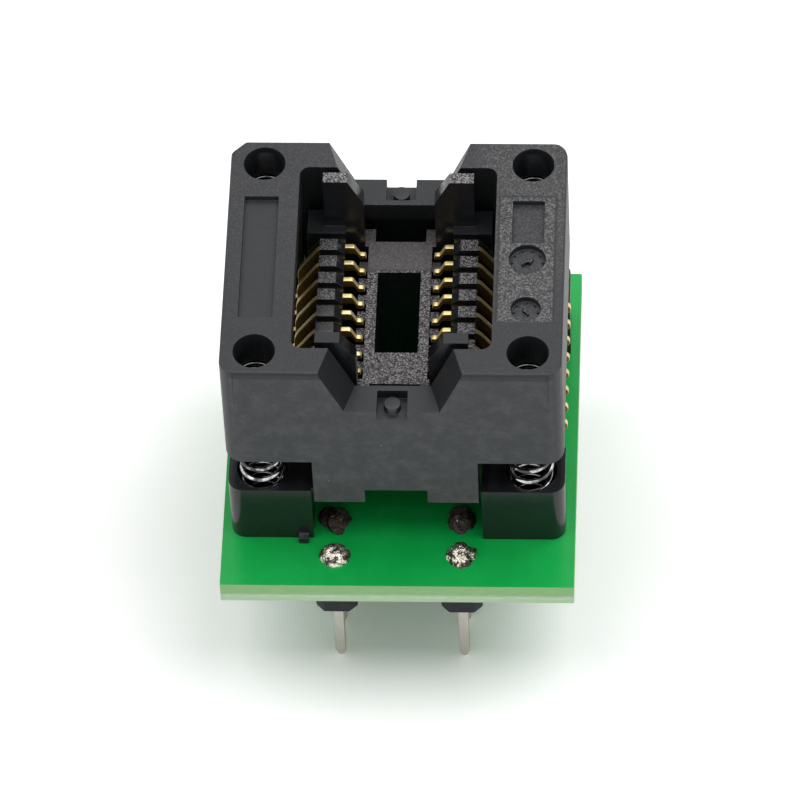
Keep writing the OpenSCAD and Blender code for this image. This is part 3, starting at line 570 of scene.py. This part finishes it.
def coil(x, y, start):
    """Round wire carried along a helix. Height rises slowly over the first and the last turn, so that the
    ends lie closed, and evenly between. The wire's ring stands square to the helix at each station."""
    turn = np.linspace(0, COIL_TURNS, COIL_TURNS * STEPS_PER_TURN + 1)
    close = 2 * WIRE_R + CLOSED_GAP
    rise = COIL_HEAD - COIL_FOOT - 2 * WIRE_R
    climb = np.interp(turn, [0, 1, COIL_TURNS - 1, COIL_TURNS], [0, close, rise - close, rise])
    height = COIL_FOOT + WIRE_R + climb
    angle = start + 2 * np.pi * turn
    line = np.stack([x + COIL_R * np.cos(angle), y + COIL_R * np.sin(angle), height], axis=-1)
    along = np.gradient(line, axis=0)
    along /= np.linalg.norm(along, axis=1, keepdims=True)
    out = np.stack([np.cos(angle), np.sin(angle), 0 * angle], axis=-1)
    up = np.cross(along, out)
    ring = np.linspace(0, 2 * np.pi, RING_POINTS, endpoint=False)[None, :, None]
    return line[:, None] + WIRE_R * (out[:, None] * np.cos(ring) + up[:, None] * np.sin(ring))


steel_look, tree, shader, place = finish("spring_steel", Metallic=1.0)
# Patches of painted glint along the wire, below the cover's pocket only.
below_pocket = between(tree, axes_of(tree, place)[2], *GLINTS_BELOW_Z)
painted_glints = times(tree, below_pocket, between(tree, noise(tree, place, GLINT_PATCH_SIZE), 0.42, 0.62))
feed(
    tree, shader,
    Base_Color=blended(tree, painted_glints, STEEL_PAINTED_DARK, STEEL_PAINTED_GLINT),
    Roughness=rising(tree, painted_glints, 0.06, 0.08),
)
for corner, (x, y) in SPRING_PLACES.items():
    spring = surface(f"coil_{corner}", coil(x, y, COIL_START), steel_look)
    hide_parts(f"spring_{corner}")
    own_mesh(spring)
    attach(spring, "adapter")

# Cover: one black moulding that slides on the base, with hollow rails, a window, flared notches and hooked
# tabs. Its top is finely grained, and the right rail has a coarser plate where the mould took an insert. Pale
# specks in the colour are painted glints, on the insert plate, more towards the rear and on the right rail,
# and on the rear flares. The end faces are painted paler as a painted sheen, mottled and flecked with dust,
# up to just below their top edge, which leaves a dark band there as a painted reflection.

COVER_EDGE = 0.16 * MM
COVER_CLOUD = 2.2 * MM
# Colour of the painted glints.
COVER_PAINTED_GLINT = (0.29, 0.28, 0.28, 1)
COVER_PIT, COVER_RELIEF = 0.075 * MM, 0.1 * MM
FINE_GRAIN = 0.25 * MM
# Paler colours of the end faces: a painted sheen, mottled.
END_SHEEN_DARK = (0.056, 0.059, 0.065, 1)
END_SHEEN_PALE = (0.096, 0.099, 0.106, 1)
SHEEN_MOTTLE_SIZE = 1.2 * MM
DUST = (0.2, 0.2, 0.2, 1)
DUST_SPACING = 0.8 * MM
# The painted sheen stops just below the end faces' top edge, leaving a dark band there as a painted
# reflection.
END_FACES_Y, SHEEN_STOP_Z = (8.2 * MM, 8.4 * MM), (25.98 * MM, 25.75 * MM)
FLARE_TILT = (0.2, 0.35)
FLARES_SIDE_X, REAR_FLARES_Y = (4.9 * MM, 4.7 * MM), (5.0 * MM, 6.0 * MM)
INSERT_LEFT_X, INSERT_RIGHT_X = (6.1 * MM, 6.2 * MM), (9.6 * MM, 9.5 * MM)
INSERT_FRONT_Y, INSERT_REAR_Y = (-4.55 * MM, -4.4 * MM), (5.15 * MM, 5.05 * MM)
SEAM_MIDDLE_X, SEAM_REACH_X = 7.85 * MM, 1.7 * MM
SEAM_MIDDLE_Y, SEAM_REACH_Y = 0.31 * MM, 4.79 * MM
SEAM_HALF = (0.1 * MM, 0.05 * MM)
TOP_FACE_Z = (26.1 * MM, 26.3 * MM)
RIGHT_RAIL_X, FRONT_TO_REAR_Y = (4.0 * MM, 6.0 * MM), (-6.0 * MM, 6.0 * MM)
# Shares of coarse grain and of painted glints on the insert plate and on the rear flares.
INSERT_GRAIN_AND_PAINTED_GLINTS, FLARE_GRAIN_AND_PAINTED_GLINTS = 0.8, 0.8

cover_look, tree, shader, place = finish("cover_moulding", IOR=1.46)
axes = axes_of(tree, place)
facing = facing_of(tree)
upward = between(tree, facing[2], *SQUARE_ON)
end_face = times(
    tree,
    between(tree, calc(tree, "ABSOLUTE", facing[1]), *SQUARE_ON),
    between(tree, apart(tree, axes[1], ROWS_MIDDLE_Y), *END_FACES_Y),
    between(tree, axes[2], *SHEEN_STOP_Z),
)
rear_flares = times(
    tree,
    between(tree, facing[2], *FLARE_TILT),
    calc(tree, "SUBTRACT", 1.0, upward),
    between(tree, calc(tree, "ABSOLUTE", axes[0]), *FLARES_SIDE_X),
    between(tree, axes[1], *REAR_FLARES_Y),
)
insert = times(
    tree,
    between(tree, axes[0], *INSERT_LEFT_X),
    between(tree, axes[0], *INSERT_RIGHT_X),
    between(tree, axes[1], *INSERT_FRONT_Y),
    between(tree, axes[1], *INSERT_REAR_Y),
    upward,
)
past_x = calc(tree, "SUBTRACT", apart(tree, axes[0], SEAM_MIDDLE_X), SEAM_REACH_X)
past_y = calc(tree, "SUBTRACT", apart(tree, axes[1], SEAM_MIDDLE_Y), SEAM_REACH_Y)
from_seam = calc(tree, "ABSOLUTE", calc(tree, "MAXIMUM", past_x, past_y))
seam = times(tree, between(tree, from_seam, *SEAM_HALF), upward)
raised = rising(tree, between(tree, axes[2], *TOP_FACE_Z), 0.25, 0.75)
# More painted glint towards the rear and on the right rail, as painted light that falls from the right.
rear = between(tree, axes[1], *FRONT_TO_REAR_Y)
right_rail = between(tree, axes[0], *RIGHT_RAIL_X)
rails = times(tree, upward, rising(tree, rising(tree, right_rail, 0.08, 0.28), 0.06, rear))
sparkle = calc(tree, "MAXIMUM", times(tree, insert, INSERT_GRAIN_AND_PAINTED_GLINTS), rails)
sparkle = rising(tree, rear_flares, times(tree, sparkle, raised), FLARE_GRAIN_AND_PAINTED_GLINTS)
pits = grain(tree, COVER_PIT)
cloud = noise(tree, place, COVER_CLOUD)
# Mottling of the end faces' painted sheen.
sheen_mottle = between(tree, noise(tree, place, SHEEN_MOTTLE_SIZE, 7.0, 0.7), 0.4, 0.72)
fine = noise(tree, place, FINE_GRAIN, 4.0, 0.65)
speck = add(tree, "ShaderNodeTexVoronoi", {"Vector": place, "Scale": 1 / DUST_SPACING}).outputs["Distance"]
dust = times(tree, between(tree, speck, 0.09, 0.05), between(tree, cloud, 0.56, 0.66))
resin = blended(tree, cloud, RESIN_DARK, RESIN_PALE)
# End faces painted paler as a painted sheen, mottled.
resin = blended(tree, end_face, resin, blended(tree, sheen_mottle, END_SHEEN_DARK, END_SHEEN_PALE))
# Painted glints: pale specks on some of the pits.
resin = blended(tree, times(tree, pits["Painted_glint"], sparkle), resin, COVER_PAINTED_GLINT)
resin = blended(tree, times(tree, end_face, dust), resin, DUST)
resin = blended(tree, times(tree, seam, 0.8), resin, RESIN_DARK)
relief = rising(tree, times(tree, pits["Height"], sparkle), times(tree, fine, 0.16), 0.7)
feed(
    tree, shader,
    Base_Color=resin,
    Roughness=rising(tree, end_face, rising(tree, fine, 0.3, 0.2), 0.2),
    Normal=dented(tree, relief, COVER_RELIEF),
)
softened("cover", COVER_EDGE, cover_look, "cover")

# Dial marks: raised in the two round recesses of the right rail, where the mould's turning inserts leave
# them. Each dial has a pointer in the middle and a ring of small dots, moulded in one with the cover.

DIALS = ((7.9, 0.3, 0.92, 10, 0.5), (7.9, -3.45, 0.72, 8, 2.2))
DIAL_FLOOR = 25.97
POINTER_SHARE, POINTER_T, POINTER_EDGE, POINTER_SUNK = 0.72, 0.22, 0.05, 0.02
DOT_R, DOT_HEIGHT = 0.09, 0.13
POINTER = rounded(
    [(-0.6, -0.12, 0.06), (0.1, -0.12, 0.05), (0.1, -0.34, 0.05), (0.7, 0.0, 0.06), (0.1, 0.34, 0.05),
     (0.1, 0.12, 0.05), (-0.6, 0.12, 0.06)], 4
)


def pointer(x, y, size, turn):
    """Flat pointer: its outline carried up from the dial's floor, drawn in by a round at its top."""
    flat = stamping(stepped(POINTER * size, 0.08), POINTER_T, POINTER_EDGE)[..., (0, 2, 1)]
    cos, sin = math.cos(turn), math.sin(turn)
    turned = flat @ np.array([[cos, sin, 0], [-sin, cos, 0], [0, 0, 1]])
    return turned + (x, y, DIAL_FLOOR + POINTER_T / 2 - POINTER_SUNK)


def dots(x, y, reach, count):
    """Half-round dots on a ring: the same quarter circle turned about each dot's middle."""
    t = np.linspace(0, np.pi / 2 * 0.98, 6)[None, :, None]
    turn = np.linspace(0, 2 * np.pi, 14, endpoint=False)[None, None, :]
    spot = np.linspace(0, 2 * np.pi, count, endpoint=False)[:, None, None]
    across = DOT_R * np.cos(t)
    px = x + reach * np.cos(spot) + across * np.cos(turn)
    py = y + reach * np.sin(spot) + across * np.sin(turn)
    pz = DIAL_FLOOR + DOT_HEIGHT * np.sin(t) + 0 * px
    return np.stack([px, py, pz], axis=-1)


for number, (x, y, reach, count, turn) in enumerate(DIALS, 1):
    marks = {"pointer": pointer(x, y, reach * POINTER_SHARE, turn), "dots": dots(x, y, reach, count)}
    for name, grids in marks.items():
        dial_mark = surface(f"dial_{name}_{number}", grids, cover_look)
        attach(dial_mark, "cover")

# Floor, light and camera: the part stands on its pins on a white table in a white room, under two wide soft
# boxes, the right one stronger, with a weak card behind. The camera looks down from the front at the
# photograph's angle.

TABLE_HALF, TABLE_CELLS = 900, 24
PAPER_LIT, PAPER_MIRRORED, PAPER_SEEN = (0.82, 0.82, 0.82, 1), (1, 1, 1, 1), (1.4, 1.4, 1.4, 1)
ROOM_WHITE = (1, 1, 1, 1)
ROOM_LIGHT = 0.36
AIM = Vector((0, 0, 0.02))


def looked_at(tree):
    """Two masks: 1 for the rays by which the camera sees a thing straight, and 1 for those by which it sees
    it in a reflection or through glass."""
    rays = add(tree, "ShaderNodeLightPath").outputs
    return rays["Is Camera Ray"], calc(tree, "MAXIMUM", rays["Is Glossy Ray"], rays["Is Transmission Ray"])


table_look, tree, shader, place = finish("pale_table", Roughness=0.6, Specular_IOR_Level=0.2)
straight, mirrored = looked_at(tree)
paper = blended(tree, mirrored, PAPER_LIT, PAPER_MIRRORED)
feed(tree, shader, Base_Color=blended(tree, straight, paper, PAPER_SEEN))
points = TABLE_CELLS + 1
across = np.linspace(-TABLE_HALF, TABLE_HALF, points)[:, None] * np.ones((1, points))
corners = np.stack([across, across.T, 0 * across], axis=-1).reshape(-1, 3) * MM
cells = np.arange(TABLE_CELLS * TABLE_CELLS)
first = cells // TABLE_CELLS * points + cells % TABLE_CELLS
table_mesh = bpy.data.meshes.new("table_top")
table_mesh.from_pydata(
    corners.tolist(), [], np.stack([first, first + points, first + points + 1, first + 1], axis=1).tolist()
)
table_mesh.materials.append(table_look)
table_top = bpy.data.objects.new("table_top", table_mesh)
bpy.context.scene.collection.objects.link(table_top)

room = bpy.data.worlds.new("white_room")
room.use_nodes = True
tree = room.node_tree
sky = tree.nodes["Background"]
sky.inputs["Color"].default_value = ROOM_WHITE
seen = calc(tree, "MAXIMUM", *looked_at(tree))
feed(tree, sky, Strength=rising(tree, seen, ROOM_LIGHT, 1 - ROOM_LIGHT))
bpy.context.scene.world = room


def softbox(name, place, size, power):
    """Wide soft light that faces the part."""
    lamp = bpy.data.lights.new(name, "AREA")
    lamp.shape = "RECTANGLE"
    lamp.size, lamp.size_y = size
    lamp.energy = power
    light = bpy.data.objects.new(name, lamp)
    turn = (AIM - Vector(place)).to_track_quat("-Z", "Y").to_matrix().to_4x4()
    light.matrix_world = Matrix.Translation(place) @ turn
    bpy.context.scene.collection.objects.link(light)


softbox("left_softbox", (-0.2, 0.02, 0.47), (0.36, 0.34), 0.77)
softbox("right_softbox", (0.2, 0.02, 0.47), (0.36, 0.34), 1.0)
softbox("back_card", (0.17, 0.36, 0.5), (0.44, 0.34), 0.25)

TILT, SWING, ROLL = 0.92168, 0.07723, -0.05379
REACH, FOCUS_PIXELS = 465.84, 7601.09
MIDDLE_PIXEL = (403.41, 426.99)
IMAGE_PIXELS = 800
backward = Vector((math.sin(SWING) * math.cos(TILT), -math.cos(SWING) * math.cos(TILT), math.sin(TILT)))
level = Vector((math.cos(SWING), math.sin(SWING), 0))
rise = backward.cross(level)
sideways = math.cos(ROLL) * level + math.sin(ROLL) * rise
upwards = math.cos(ROLL) * rise - math.sin(ROLL) * level
lens = bpy.data.cameras.new("camera")
lens.sensor_width = 36
lens.lens = FOCUS_PIXELS / IMAGE_PIXELS * lens.sensor_width
lens.shift_x = (IMAGE_PIXELS / 2 - MIDDLE_PIXEL[0]) / IMAGE_PIXELS
lens.shift_y = (MIDDLE_PIXEL[1] - IMAGE_PIXELS / 2) / IMAGE_PIXELS
lens.clip_start = 0.01
camera = bpy.data.objects.new("camera", lens)
stand = Matrix.Translation(backward * REACH * MM + Vector((0, 0, BOARD_TOP)))
camera.matrix_world = stand @ Matrix((sideways, upwards, backward)).transposed().to_4x4()
bpy.context.scene.collection.objects.link(camera)
bpy.context.scene.camera = camera
bpy.context.scene.view_settings.view_transform = "Standard"
